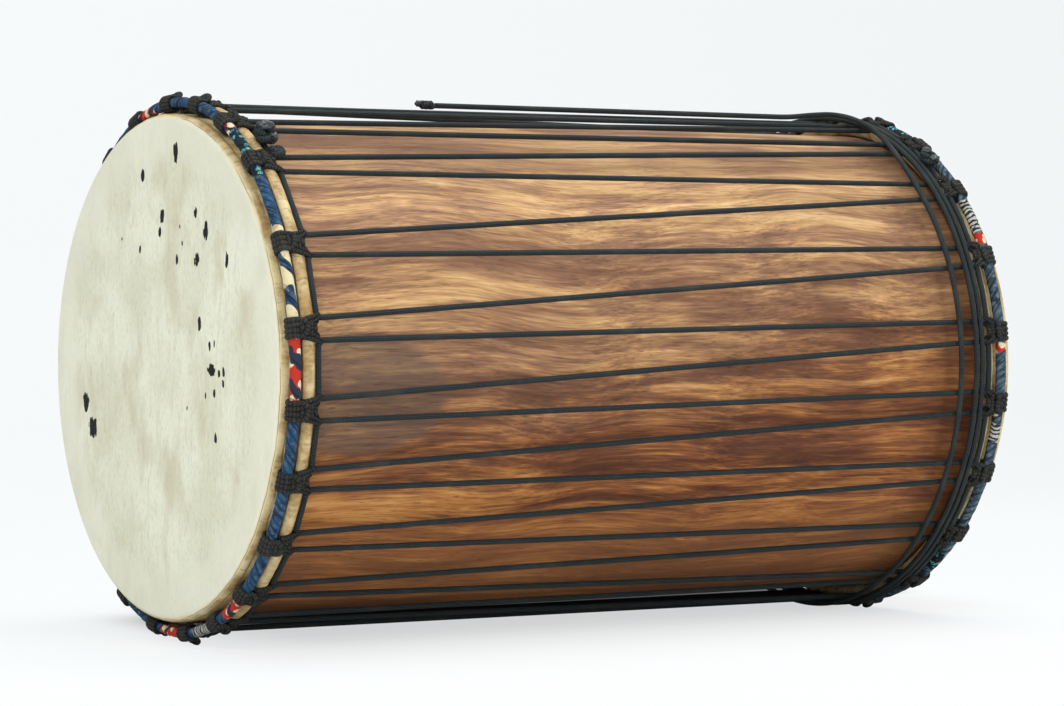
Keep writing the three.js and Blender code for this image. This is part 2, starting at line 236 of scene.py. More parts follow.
wood, values, shader = new_material("oiled hardwood")
place = values.node("ShaderNodeTexCoord", output="Object")
x, y, z = (values.node("ShaderNodeSeparateXYZ", {0: place}, output=axis) for axis in "XYZ")
across, height = y - axis_y, z - axis_z
bends = values.node("ShaderNodeTexNoise", {"Vector": place, "Scale": 4.6, "Detail": 1.0}, output="Color")
bends = values.node("ShaderNodeVectorMath", {0: bends, 1: (0.0, 0.05, 0.05)}, operation="MULTIPLY")
bent_place = values.node("ShaderNodeVectorMath", {0: place, 1: bends}, operation="ADD")


def grain(stretch, scale, detail, shift=0.0, roughness=0.5, distortion=0.0):
    """Noise that is drawn out along the drum: the smaller the stretch, the longer its marks."""
    spot = values.node("ShaderNodeMapping", {0: bent_place, 1: (shift, shift, shift), 3: (stretch, 1, 1)})
    return values.node("ShaderNodeTexNoise", {"Vector": spot, "Scale": scale, "Detail": detail,
                                              "Roughness": roughness, "Distortion": distortion})


# Growth rings about the heart of the tree, which wanders to and fro off the drum's axis.
wander, weave = grain(0.5, 4.2, 2.0), grain(0.35, 13.0, 3.0, 3.0, 0.6, 0.8)
heart_y = across - 0.055 + wander * 0.09
heart_z = height + 0.075 - grain(0.6, 3.6, 2.0, 8.0) * 0.15
ring = (heart_y * heart_y + heart_z * heart_z).math("SQRT") * 190 + weave * 3.0
growth = (ring.math("SINE") * 0.5 + 0.5) ** 2
late_wood = (ring * 3.1 + weave * 3.0).math("SINE") * 0.5 + 0.5

# The figure, from broad clouds down to single fibres, and from it the tone between dark and light wood.
clouds = grain(0.17, 15.0, 4.0, 7.0, 0.58, 1.3)
flames = grain(0.09, 62.0, 4.0, 15.0, 0.62, 0.7)
streaks = grain(0.045, 200.0, 3.0, 31.0, 0.62, 0.5)
strokes = grain(0.060, 700.0, 2.0, 11.0, 0.6, 0.3)
fibres = grain(0.04, 1700.0, 2.0, 5.0, 0.6)
figure = clouds * 0.64 + flames * 0.66 + streaks * 0.44 + strokes * 0.27
figure += growth * 0.15 + late_wood * 0.06 - 0.620
tone = figure.fade(0.27, 0.74) * 0.46 + flames * 0.30 + streaks * 0.50
tone += strokes * 0.26 + fibres * 0.16 - 0.345
golden = tone.node("ShaderNodeValToRGB", {0: tone}, stops=[
    (0.10, (0.180, 0.090, 0.056)), (0.32, (0.300, 0.160, 0.092)), (0.50, (0.440, 0.246, 0.122)),
    (0.70, (0.620, 0.380, 0.168)), (0.90, (0.780, 0.545, 0.290))])
russet = tone.node("ShaderNodeValToRGB", {0: tone}, stops=[
    (0.10, (0.075, 0.028, 0.016)), (0.32, (0.145, 0.052, 0.024)), (0.50, (0.245, 0.090, 0.032)),
    (0.70, (0.420, 0.172, 0.048)), (0.90, (0.620, 0.315, 0.100))])

# Golden above and russet below, with a painted shade in a strip high up, a smoky oval near the front, a darker
# back end, painted light low down from the floor's bounce, and a painted shade underneath.
upper = (height + clouds * 0.20 - 0.10 - x * 0.10).fade(-0.075, 0.10)
colour = upper.blend(russet, golden)
# Painted shade: a strip high up on the shell is darkened.
top_shade = (height + flames * 0.006).fade(0.148, 0.162) * height.fade(0.184, 0.174) * 0.42
colour = top_shade.blend(colour, (0.190, 0.095, 0.048))
smoke_x, smoke_height, smoke_long, smoke_tall = -0.27, -0.018, 0.072, 0.045
smoke_far = ((x - smoke_x) / smoke_long) ** 2 + ((height - smoke_height) / smoke_tall) ** 2 + flames * 0.5
smoke = smoke_far.fade(1.42, 1.02) * across.fade(-0.12, -0.16)
colour = (smoke * 0.62).blend(colour, (0.105, 0.075, 0.058))
# Darker towards the back end.
back_end_darkening = (x + flames * 0.06).fade(0.26, 0.335) * 0.40
colour = back_end_darkening.blend(colour, (0.080, 0.032, 0.017))
# Painted light: the lowest part of the sides is painted lighter, as the floor's bounce would light it.
bounce_light = (height + flames * 0.02).fade(-0.092, -0.132) * 0.34
colour = bounce_light.blend(colour, (0.430, 0.190, 0.070))
# Painted shade: the underside is darkened to near black.
under = (height + clouds * 0.03).fade(-0.160, -0.192) * 0.50
colour = under.blend(colour, (0.034, 0.012, 0.005))
pores = grain(0.05, 1100.0, 1.0, 21.0).fade(0.62, 0.70)
colour = (pores * 0.42).blend(colour, (0.040, 0.016, 0.010))
relief = values.node("ShaderNodeBump", {"Strength": 0.3, "Distance": 0.0004,
                                        "Height": strokes * 0.6 + fibres * 0.3 - pores * 0.5})
feed(shader, Base_Color=colour, Roughness=0.40 + strokes * 0.18 + pores * 0.2, Normal=relief,
     Specular_IOR_Level=0.13)

half_shell, shell_radius, shell_wall, edge_round, inner_bevel = shell_high.x, 0.195, 0.020, 0.004, 0.009
bore_radius, shell_steps = shell_radius - shell_wall, 256
half_outline = np.concatenate([
    [(half_shell - inner_bevel, bore_radius), (half_shell, bore_radius + inner_bevel)],
    arc((half_shell - edge_round, shell_radius - edge_round), edge_round, 0, 90, 7)])
outline = np.concatenate([half_outline * (-1, 1), half_outline[::-1]])
shell = skin("turned_shell", turned(outline, shell_steps), wood)
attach(shell, "root")
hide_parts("shell")

# The heads: one dry hide on each end, stretched flat over the bearing edge, shaved along its collar, where it
# creased as it dried, and rolled back round the flesh ring. The front one keeps the animal's black spots.
side = {"front": -1, "back": 1}
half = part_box("back_head")[1].x  # half the drum's length, over the hides
hide_depth, seat_gap, flesh_rod_radius = 0.002, 0.0003, 0.0035
rim_round = edge_round + seat_gap + hide_depth
collar_radius = shell_radius + seat_gap + hide_depth
flesh_ring_radius = collar_radius + seat_gap + flesh_rod_radius
roll_radius = flesh_rod_radius + seat_gap + hide_depth
crown_ring_radius = 0.2060
ring_drop = {"front": 0.008, "back": 0.0184}  # from the face to the crown ring
ring_lean = {"front": 0.011, "back": 0.0}
roll_offset = 0.01215  # from the crown ring to the roll
lean_reach = 0.008  # the collar takes on the ring's lean over this much of its length
head_steps = 540


def ripple(points, scale, seed):
    shift = Vector((seed, 0, 0))
    heights = [noise.noise(Vector(point) * scale + shift) for point in points.reshape(-1, 3)]
    return np.array(heights).reshape(points.shape[:-1])


def leaned(end, points, share=1.0):
    """Points moved along the drum with a ring that sits askew, further down the shell on the side at +Y."""
    moved = np.array(points, dtype=float)
    across_share = 0.5 + (moved[..., 1] - axis_y) / (2 * crown_ring_radius)
    moved[..., 0] -= side[end] * ring_lean[end] * share * across_share
    return moved


def head_grid(end):
    """The skin of a head, from the middle of its face over rim and collar, round the roll and back inside."""
    roll_x = half - ring_drop[end] - roll_offset
    rim = (half - rim_round, shell_radius - edge_round)
    disc = [(half, r) for r in np.linspace(0, rim[1], 34)]
    outer_rim = arc(rim, rim_round, 0, 90, 9)[1:]
    collar = [(x, collar_radius) for x in np.linspace(rim[0], roll_x, 10)[1:-1]]
    hook = arc((roll_x, flesh_ring_radius), roll_radius - hide_depth, 270, 30, 10)
    roll = arc((roll_x, flesh_ring_radius), roll_radius, 30, 270, 26)
    inner_rim = arc(rim, rim_round - hide_depth, 90, 0, 5)
    profile = np.concatenate([disc, outer_rim, collar, hook, roll, inner_rim, [(half - hide_depth, 0)]])
    grid = turned(profile * (side[end], 1), head_steps)
    drawn = np.clip((rim[0] - profile[:, 0]) / lean_reach, 0, 1)
    grid = leaned(end, grid, drawn[:, None])
    radial = grid - (0, axis_y, axis_z)
    radial[..., 0] = 0
    radial /= np.maximum(np.linalg.norm(radial, axis=-1, keepdims=True), 1e-9)
    # The creased rows: the collar from halfway over the rim, and the roll all but its tucked end.
    first = len(disc)
    collar_rows = slice(first + 4, first + len(outer_rim) + len(collar))
    roll_rows = slice(collar_rows.stop + len(hook), collar_rows.stop + len(hook) + len(roll) - 5)
    for rows, size in ((collar_rows, 0.00045), (roll_rows, 0.0005)):
        part = grid[rows]
        waves = ripple(part * (0.5, 1, 1), 120.0, 1.0) * 0.65 + ripple(part * (0.4, 1, 1), 330.0, 5.0) * 0.35
        grid[rows] = part + radial[rows] * (waves * size)[..., None]
    slack = ripple(grid[1:first - 3], 16.0, 9.0) * 0.0002
    grid[1:first - 3, :, 0] += slack
    return grid


def hide_material(name, spots):
    """Dry hide: haired on the face, with its dark spots, and shaved to tan from the rim on."""
    material, values, shader = new_material(name)
    place = values.node("ShaderNodeTexCoord", output="Object")
    x, y, z = (values.node("ShaderNodeSeparateXYZ", {0: place}, output=axis) for axis in "XYZ")
    across, height = y - axis_y, z - axis_z
    radius = (across * across + height * height).math("SQRT")
    depth = half - abs(x)
    uv = values.node("ShaderNodeTexCoord", output="UV")
    round_collar = values.node("ShaderNodeSeparateXYZ", {0: uv}, output="X") * 1.24

    def cloud(scale, detail=2.0, stretch=(1, 1, 1), shift=0.0):
        spot = values.node("ShaderNodeMapping", {0: place, 1: (shift, shift, shift), 3: stretch})
        return values.node("ShaderNodeTexNoise", {"Vector": spot, "Scale": scale, "Detail": detail})

    # The haired face: mottled, combed one way and veined, and paler towards the rim.
    mottle, hair = cloud(15.0, 5.0), cloud(240.0, 3.0, (1, 1, 0.26), 4.0)
    face = mottle.fade(0.34, 0.66).blend((0.735, 0.725, 0.555), (0.845, 0.855, 0.695))
    face = (cloud(34.0, 4.0, (1, 1, 0.5), 8.0).fade(0.50, 0.72) * 0.5).blend(face, (0.580, 0.505, 0.345))
    face = (hair.fade(0.48, 0.74) * 0.20).blend(face, (0.420, 0.400, 0.290))
    face = (cloud(800.0, 2.0, (1, 1, 0.28), 33.0).fade(0.46, 0.72) * 0.30).blend(face, (0.450, 0.410, 0.270))
    veins = abs(cloud(9.0, 3.0, (1, 1.6, 0.6), 12.0) - 0.5).fade(0.012, 0.0) * mottle.fade(0.4, 0.7)
    face = (veins * 0.35).blend(face, (0.60, 0.49, 0.28))
    pale = (radius + mottle * 0.04).fade(0.168, 0.192) * 0.6
    face = pale.blend(face, (0.80, 0.80, 0.66))

    # The spots, each an oval that the hair frays.
    edge = cloud(90.0, 2.0, (1, 1, 0.6), 2.0)
    ragged = (edge - 0.5) * 1.2 + (cloud(600.0, 2.0, (1, 1, 0.3), 7.0) - 0.5) * 0.9
    ragged += (cloud(300.0, 2.0, (1, 1, 0.35), 25.0) - 0.5) * 2.4
    marks = None
    for spot_y, spot_z, wide, tall in spots:
        apart = ((across - spot_y) / wide) ** 2 + ((height - spot_z) / tall) ** 2 + ragged
        mark = apart.fade(0.84, 0.70)
        marks = mark if marks is None else marks.math("MAXIMUM", mark)
    if marks:
        face = (marks * x.fade(-0.33, -0.335)).blend(face, (0.006, 0.0065, 0.007))

    # The shaved collar and roll, creased and blotched.
    wander = cloud(150.0, 2.0, shift=6.0) * 0.004 + cloud(40.0, 1.0, shift=3.0) * 0.01
    cells = values.node("ShaderNodeTexVoronoi", {"W": round_collar + wander, "Scale": 75.0},
                        voronoi_dimensions="1D", feature="DISTANCE_TO_EDGE")
    crease = cells.fade(0.07, 0.0) * cloud(60.0, 1.0, shift=9.0).fade(0.46, 0.66)
    puckers = cloud(330.0, 3.0, (0.35, 1, 1), 19.0).fade(0.44, 0.60)
    blotch = cloud(48.0, 3.0, shift=5.0)
    tan = blotch.fade(0.32, 0.66).blend((0.455, 0.310, 0.125), (0.700, 0.570, 0.320))
    tan = (cloud(420.0, 3.0, (0.4, 1, 1), 1.0).fade(0.5, 0.8) * 0.4).blend(tan, (0.36, 0.22, 0.09))
    tan = (cloud(110.0, 3.0, shift=14.0).fade(0.60, 0.72) * 0.5).blend(tan, (0.30, 0.165, 0.055))
    tan = (puckers * blotch.fade(0.62, 0.44) * 0.5).blend(tan, (0.27, 0.160, 0.060))
    tan = (crease * 0.5).blend(tan, (0.13, 0.075, 0.030))
    line = abs(depth - 0.0062 - edge * 0.0035).fade(0.0009, 0.0002) * cloud(30.0, 1.0).fade(0.35, 0.5)
    tan = (line * 0.7).blend(tan, (0.20, 0.11, 0.04))

    # Where the shaving starts, with a pale painted highlight along the rounded edge, and a fine crack along it.
    shaved_edge = depth + edge * 0.0016 + (radius - 0.1955) * 0.4
    shaved = shaved_edge.fade(0.0004, 0.0036)
    colour = shaved.blend(face, tan)
    # Painted highlight: a pale strip where the hide turns over the rounded edge.
    rim_highlight = shaved_edge.fade(0.0, 0.0014) * shaved_edge.fade(0.0044, 0.0022)
    rim_highlight = rim_highlight * cloud(34.0, 2.0, shift=27.0).fade(0.36, 0.56)
    colour = (rim_highlight * 0.65).blend(colour, (0.80, 0.70, 0.42))
    crack = abs(shaved_edge - 0.0021).fade(0.00032, 0.0001) * cloud(16.0, 2.0, shift=17.0).fade(0.44, 0.52)
    colour = (crack * 0.75).blend(colour, (0.13, 0.075, 0.03))
    creased = blotch * 0.8 - crease - puckers * 0.5 - line
    relief = values.node("ShaderNodeBump", {"Strength": 0.5, "Distance": 0.0006,
                                            "Height": mottle * 0.25 + hair * 0.12 + shaved * creased - crack})
    feed(shader, Base_Color=colour, Roughness=0.62 + mottle * 0.2 - shaved * 0.12, Normal=relief,
         Specular_IOR_Level=0.2)
    return material


front_spots = [  # across and up from the middle, half width and half height, in mm
    (-26, 166, 4.0, 8.0), (32, 150, 3.6, 5.2), (-2, 118, 3.8, 6.0), (2, 106, 2.6, 4.2),
    (-60, 119, 3.2, 5.2), (-77, 105, 4.2, 8.4), (-33, 109, 1.3, 1.8), (-37, 96, 1.3, 2.0),
    (-28, 84, 2.6, 4.6), (-62, 82, 4.4, 6.6), (37, 92, 2.2, 3.4), (-112, 82, 3.0, 7.0),
    (-66, 34, 3.0, 6.0), (-84, 18, 2.8, 4.6), (-91, 20, 1.6, 3.2), (-87, 0, 6.6, 5.4),
    (-99, -3, 2.2, 3.6), (-107, -2, 2.6, 4.6), (-106, -10, 2.2, 3.6), (-76, -20, 1.8, 3.2),
    (-91, -18, 2.0, 3.6), (-93, -52, 2.6, 4.2), (138, -30, 6.4, 8.0), (125, -50, 8.6, 8.6),
    (-45, -30, 1.2, 1.8), (70, 101, 1.2, 1.4)]
mm = 0.001
for end, spots in (("front", front_spots), ("back", [])):
    hide = hide_material(end + " hide", [tuple(part * mm for part in spot) for spot in spots])
    head = skin(end + "_stretched_hide", head_grid(end), hide, poles=True)
    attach(head, "root")
    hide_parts(end + "_head")

# The steel rings: a flesh ring of bent rod inside each hide's roll and a crown ring inside each cotton wrap,
# with the mill scale of plain rod. They keep their solids, since the hide and the cotton close round them.
steel, values, shader = new_material("plain rod")
place = values.node("ShaderNodeTexCoord", output="Object")
scale = values.node("ShaderNodeTexNoise", {"Vector": place, "Scale": 240.0, "Detail": 4.0})
dulled = scale.fade(0.45, 0.65)
feed(shader, Base_Color=dulled.blend((0.30, 0.305, 0.31), (0.12, 0.10, 0.09)), Metallic=1.0 - dulled * 0.5,
     Roughness=0.34 + dulled * 0.3, Normal=values.node("ShaderNodeBump", {"Strength": 0.2, "Height": scale}))
for end in ("front", "back"):
    for ring in ("flesh", "crown"):
        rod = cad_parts[f"{end}_{ring}_ring"]
        rod.data.materials.clear()
        rod.data.materials.append(steel)

# The ring cloths: a torn strip of printed cotton, wound edge over edge round each crown ring so that the rope
# does not slip or chafe. Most of it shows blue, with patches where another part of the print came outside.
wrap_radius, cloth_depth = 0.0039, 0.0006
wraps, ring_steps = 56, 1792
fold_rate, fold_sway, sway_rate = 3.3, 0.6, 0.21
print_patches = {  # from and to in degrees round the ring, and which part of the print shows there
    "front": [("red", 204, 190), ("red", 153, 149.5), ("dark", 149.5, 141), ("dark", 136.3, 134.2),
              ("cream", 121.8, 119.4), ("cream", 115, 100), ("red", 97, 84.5),
              ("red", 35, 26), ("pale", 22, 10), ("red", 6, -6)],
    "back": [("dark", 166, 155), ("pale", 131, 122), ("red", 121, 118), ("red", 94.8, 92.4),
             ("cream", 79, 77.5), ("pale", 76, 72), ("dark", 40, 33), ("pale", 8, 0)]}
blues = {  # darker and lighter blue, in patches, and a painted highlight on the crests of the folds
    "front": ((0.008, 0.027, 0.072), (0.016, 0.062, 0.145), (0.085, 0.155, 0.205)),
    "back": ((0.014, 0.030, 0.055), (0.050, 0.090, 0.130), (0.170, 0.230, 0.260))}


def cloth_grid(end):
    """A sleeve round the ring, each row at one tilt round the rod: the outside, and then the lining."""
    outer = np.linspace(-60, 240, 18)
    inner = np.linspace(240, -60, 10)
    degrees = np.linspace(0, 360, ring_steps, endpoint=False)
    rows = []
    for tilt, lining in [(t, False) for t in outer] + [(t, True) for t in inner]:
        overlap = (degrees / 360 * wraps - tilt / 360) % 1.0
        folds = np.abs(np.sin(np.pi * (overlap * fold_rate + fold_sway * np.sin(degrees * sway_rate)))) ** 0.7
        bulge = 0.00040 * (1 - overlap) ** 0.8 + 0.00022 * folds - 0.00005
        radius = np.full(ring_steps, wrap_radius - cloth_depth) if lining else wrap_radius + bulge
        x = side[end] * (half - ring_drop[end] - radius * np.cos(np.radians(tilt)))
        rows.append(around(x, crown_ring_radius + radius * np.sin(np.radians(tilt)), degrees))
    return leaned(end, np.stack(rows)), np.concatenate([outer, inner]) / 360


def cloth_material(end):
    """Blue cotton, with a painted highlight on the crests of its folds and painted shade deep in them, and the
    patches where another part of the print shows.
    """
    material, values, shader = new_material(end + " printed cotton")
    place = values.node("ShaderNodeTexCoord", output="Object")
    uv = values.node("ShaderNodeTexCoord", output="UV")
    u, v = (values.node("ShaderNodeSeparateXYZ", {0: uv}, output=axis) for axis in "XY")
    overlap = (u * wraps - v).math("FRACT")
    degrees = u * 360

    def cloud(scale, detail=2.0, output=0):
        return values.node("ShaderNodeTexNoise", {"Vector": place, "Scale": scale, "Detail": detail},
                           output=output)

    patchy = cloud(70.0, 3.0)
    sway = (degrees * sway_rate).math("SINE") * fold_sway
    folds = abs(((overlap * fold_rate + sway) * math.pi).math("SINE")) ** 0.7
    deep, mid, crest_highlight = blues[end]
    blue = patchy.fade(0.35, 0.62).blend(deep, mid)
    # Painted highlight on the crests of the folds.
    blue = (folds.fade(0.45, 1.0) * cloud(260.0, 2.0).fade(0.35, 0.65) * 0.7).blend(blue, crest_highlight)
    # Painted shade deep in each fold.
    blue = (folds.fade(0.5, 0.0) * 0.75).blend(blue, (0.005, 0.008, 0.016))

    striped = (overlap + cloud(46.0, 1.0) * 2.4).math("FRACT")
    bare = striped.fade(0.46, 0.49)
    cream = bare.blend(blue, (0.730, 0.640, 0.400))
    cream = (bare * cloud(210.0, 0.0).fade(0.62, 0.72) * 0.6).blend(cream, (0.42, 0.22, 0.10))
    bend = cloud(120.0, 2.0, output=1) * 0.006
    bent = values.node("ShaderNodeVectorMath", {0: place, 1: bend}, operation="ADD")
    dots = values.node("ShaderNodeTexVoronoi", {"Vector": bent, "Scale": 210.0})
    flowers = values.node("ShaderNodeTexVoronoi", {"Vector": bent, "Scale": 125.0})
    stems = (overlap + cloud(80.0, 1.0) * 0.9 + 0.35).math("FRACT")
    red = flowers.fade(0.46, 0.41).blend((0.50, 0.032, 0.018), (0.76, 0.66, 0.44))
    red = stems.fade(0.76, 0.80).blend(red, (0.022, 0.032, 0.060))
    dark = abs(dots - 0.34).fade(0.075, 0.05).blend((0.010, 0.016, 0.026), (0.10, 0.42, 0.50))
    dark = abs(dots - 0.13).fade(0.06, 0.04).blend(dark, (0.60, 0.62, 0.04))
    zebra = (degrees * 5.7 + cloud(150.0) * 9).math("SINE")
    pale = zebra.fade(-0.35, 0.15).blend((0.020, 0.024, 0.032), (0.46, 0.46, 0.41))

    prints = {"cream": cream, "red": red, "dark": dark, "pale": pale}
    colour = blue
    for kind, start, stop in print_patches[end]:
        middle, reach = ((start + stop) / 2) % 360, abs(start - stop) / 2
        off = abs(degrees - middle)
        off = off.math("MINIMUM", 360 - off)
        inside = (off - overlap * 1.2 + 0.6 - reach).fade(0.12, -0.12)
        colour = inside.blend(colour, prints[kind])
    # Painted shadow where each wrap goes under the next; the same mask also sinks the relief there.
    tuck_and_shadow = overlap.fade(0.06, 0.0).math("MAXIMUM", overlap.fade(0.95, 1.0))
    colour = (tuck_and_shadow * 0.8).blend(colour, (0.006, 0.008, 0.014))
    warp = (u * 5200).math("SINE") * (v * 260).math("SINE")
    relief = values.node("ShaderNodeBump", {"Strength": 0.6, "Distance": 0.0003,
                                            "Height": warp * 0.25 + patchy - tuck_and_shadow * 1.4})
    feed(shader, Base_Color=colour, Roughness=0.85, Normal=relief, Specular_IOR_Level=0.2)
    return material


for end in ("front", "back"):
    grid, across = cloth_grid(end)
    cloth = skin(end + "_wound_cotton", grid, cloth_material(end), across=across)
    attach(cloth, "root")
    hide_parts(end + "_ring_cloth")

# The ring loops: a short length of rope for each, doubled, hitched over the crown ring and drawn tight. Its
# strands lie side by side round the ring and under the bar, and cross the roll to hold the lacing's corners.
loop_count = 22
loop_angles = {  # in degrees: those in view, and the rest are spread over what is left of the ring
    "front": [183, 168.5, 154.8, 139, 117.2, 98.9, 82.2, 67.1, 51.6, 35.6, 20.8, 5.6, -10.5],
    "back": [182.5, 166.5, 151.5, 134.3, 115.4, 97.5, 81.3, 64.4, 47, 28, 9, -6.5]}
for angles in loop_angles.values():
    unseen = loop_count - len(angles)
    first, last = angles[0] - 360, angles[-1]
    angles += [last + (first - last) * (i + 1) / (unseen + 1) for i in range(unseen)]
rope_radius, rope_sides = 0.0022, 12
run_place = {"front": (0.02012, -0.00118), "back": (0.01519, 0.00346)}  # inward and outward of the crown ring
strand_apart, strand_width, strand_lift, strand_sink = 0.0020, 0.00208, 0.0009, 0.0003


def rope_material(name, dusty, dark=(0.0032, 0.0042, 0.0048), light=(0.036, 0.052, 0.056),
                  lay=1900, depth=0.0006):
    """Braided rope, from how far along the rope and how far round it a point is."""
    material, values, shader = new_material(name)
    place = values.node("ShaderNodeTexCoord", output="Object")
    along, cosine, sine = (values.node("ShaderNodeAttribute", output="Fac", attribute_name=key)
                           for key in ("along", "lay_cosine", "lay_sine"))
    turn = sine.math("ARCTAN2", cosine)
    slip = values.node("ShaderNodeTexNoise", {"Vector": place, "Scale": 190.0, "Detail": 1.0})
    along = along + slip * 0.0022
    left, right = (turn * 5 + along * lay).math("SINE"), (turn * 5 - along * lay).math("SINE")
    braid = left * right
    over = braid.fade(-0.12, 0.12)
    yarns = (turn * 15 + along * lay * 3).math("SINE") * over
    yarns += (turn * 15 - along * lay * 3).math("SINE") * (1 - over)
    dust = values.node("ShaderNodeTexNoise", {"Vector": place, "Scale": 38.0, "Detail": 4.0})
    fuzz = values.node("ShaderNodeTexNoise", {"Vector": place, "Scale": 1500.0, "Detail": 2.0})
    # Painted highlight and shade: the braid's raised strands are painted lighter and the grooves between them
    # darker.
    ridge_light_and_shade = (braid * 0.75 + yarns * 0.35).fade(-0.75, 0.8)
    colour = ridge_light_and_shade.blend(dark, light)
    colour = (dust.fade(0.48, 0.75) * dusty).blend(colour, (0.072, 0.076, 0.066))
    colour = (fuzz.fade(0.58, 0.8) * 0.4).blend(colour, (0.075, 0.095, 0.10))
    relief = values.node("ShaderNodeBump", {"Strength": 0.9, "Distance": depth,
                                            "Height": braid * 0.6 + yarns * 0.2 + fuzz * 0.25})
    feed(shader, Base_Color=colour, Roughness=0.5 + dust * 0.2, Normal=relief, Specular_IOR_Level=0.18)
    return material


loop_rope = rope_material("hitched rope", 0.5, (0.0018, 0.0017, 0.0016), (0.062, 0.063, 0.057), 1250, 0.0011)


def rounded_path(points, steps):
    """A closed path through points, by a Catmull-Rom spline."""
    before, after, later = (np.roll(points, shift, axis=0) for shift in (1, -1, -2))
    t = (np.arange(steps) / steps)[None, :, None]
    a, b, c, d = (part[:, None] for part in (before, points, after, later))
    path = 2 * b + (c - a) * t + (2 * a - 5 * b + 4 * c - d) * t ** 2 + (3 * b - a - 3 * c + d) * t ** 3
    return (0.5 * path).reshape(-1, points.shape[1])


def polar(degrees):
    return np.array([math.cos(math.radians(degrees)), math.sin(math.radians(degrees))])


def loop_stations(end):
    """Where the doubled rope goes: under its bar, over the ring, round the lacing's run and back. A station has
    its place along the ring, inward and outward, the way its top faces, and its shares of width and depth."""
    lift = wrap_radius + 0.0013
    bar = (0.0054, 0.0062)
    shoulder = (0.0078, 0.0026)
    run = run_place[end]
    crossing = {"front": (0.0152, 0.0024), "back": (0.0130, 0.0048)}[end]
    stations = [(0.0023, *bar, 0, *polar(110), 1, 0.95)]
    stations += [(0.0039, *(polar(60 * i) * lift), 0, *polar(60 * i), 1, 0.7) for i in range(1, 6)]
    stations += [(0.0045, *shoulder, 0, *polar(-60), 1, 0.8),
                 (0.0070, run[0] - 0.0042, run[1] + 0.0030, 0, 0, -1, 0.70, 0.9),
                 (0.0092, run[0] + 0.0002, run[1] + 0.0026, 0, 0, -1, 0.40, 0.6),
                 (0.0104, run[0] + 0.0024, run[1] + 0.0010, -0.5, -0.5, -0.7, 0.25, 0.5),
                 (0.0100, run[0] + 0.0022, run[1] - 0.0030, -0.7, -0.7, 0, 0.25, 0.5),
                 (0.0070, run[0] + 0.0004, run[1] - 0.0020, 0, 0, 1, 0.45, 0.8),
                 (0.0028, *crossing, 0, 0, -1, 0.90, 1)]
    stations = np.array(stations)
    mirrored = stations[::-1] * (-1, 1, 1, -1, 1, 1, 1, 1)
    return np.concatenate([stations, mirrored])


def strand_grid(end, offset):
    """Rings of points along one strand, off to one side of the loop's path, with how far along each ring lies
    and how far round each of its points."""
    stations = rounded_path(loop_stations(end), 6)
    degrees = np.degrees(stations[:, 0] / crown_ring_radius)
    x = side[end] * (half - ring_drop[end] - stations[:, 1])
    centre = around(x, crown_ring_radius + stations[:, 2], degrees)
    top = np.stack([-side[end] * stations[:, 4], -stations[:, 3], -stations[:, 5]], -1)
    along = np.roll(centre, -1, axis=0) - np.roll(centre, 1, axis=0)
    along /= np.linalg.norm(along, axis=1, keepdims=True)
    top -= along * (top * along).sum(1, keepdims=True)
    top /= np.linalg.norm(top, axis=1, keepdims=True)
    wide = np.cross(along, top)
    full = (0.25 + 0.75 * stations[:, 6])[:, None]
    centre = centre + wide * offset * full + top * (strand_lift * full - strand_sink)
    turn = np.radians(np.linspace(0, 360, rope_sides, endpoint=False))[:, None, None]
    flat = full * strand_width * np.cos(turn) * wide + rope_radius * stations[:, 7:8] * np.sin(turn) * top
    lengths = np.cumsum(np.linalg.norm(np.diff(centre, axis=0, prepend=centre[:1]), axis=1))
    return (centre[None] + flat).transpose(1, 0, 2), lengths, turn.ravel()


def mark_rope(mesh, along, cosine, sine):
    """Stores what the rope's material reads: how far along the rope each point is, and how far round it."""
    for key, given in (("along", along), ("lay_cosine", cosine), ("lay_sine", sine)):
        mesh.attributes.new(key, "FLOAT", "POINT").data.foreach_set("value", given.ravel())


def new_tree(name, inputs):
    """A geometry tree with named inputs, its nodes' maker, and the values of those inputs."""
    tree = bpy.data.node_groups.new(name, "GeometryNodeTree")
    tree.interface.new_socket("Geometry", in_out="INPUT", socket_type="NodeSocketGeometry")
    for key, kind in inputs.items():
        tree.interface.new_socket(key, in_out="INPUT", socket_type="NodeSocket" + kind)
    tree.interface.new_socket("Geometry", in_out="OUTPUT", socket_type="NodeSocketGeometry")
    start = tree.nodes.new("NodeGroupInput")
    return tree, Value(tree), {out.name: Value(tree, out) for out in start.outputs if out.name}


def end_tree(tree, geometry, material):
    solid = geometry.node("GeometryNodeRealizeInstances", {0: geometry})
    dressed = solid.node("GeometryNodeSetMaterial", {"Geometry": solid, "Material": material})
    tree.links.new(dressed.socket, tree.nodes.new("NodeGroupOutput").inputs[0])


def grown(name, tree, source, settings):
    """The plain mesh that a tree makes from a source mesh, with its named inputs set."""
    carrier = bpy.data.objects.new(name + " source", source)
    scene.collection.objects.link(carrier)
    modifier = carrier.modifiers.new("grown", "NODES")
    modifier.node_group = tree
    for item in tree.interface.items_tree:
        if item.in_out == "INPUT" and item.name in settings:
            modifier[item.identifier] = settings[item.name]
    bpy.context.view_layer.update()
    shown = carrier.evaluated_get(bpy.context.evaluated_depsgraph_get())
    mesh = bpy.data.meshes.new_from_object(shown)
    bpy.data.objects.remove(carrier)
    mesh.name = name
    mesh.polygons.foreach_set("use_smooth", [True] * len(mesh.polygons))
    piece = bpy.data.objects.new(name, mesh)
    scene.collection.objects.link(piece)
    return piece


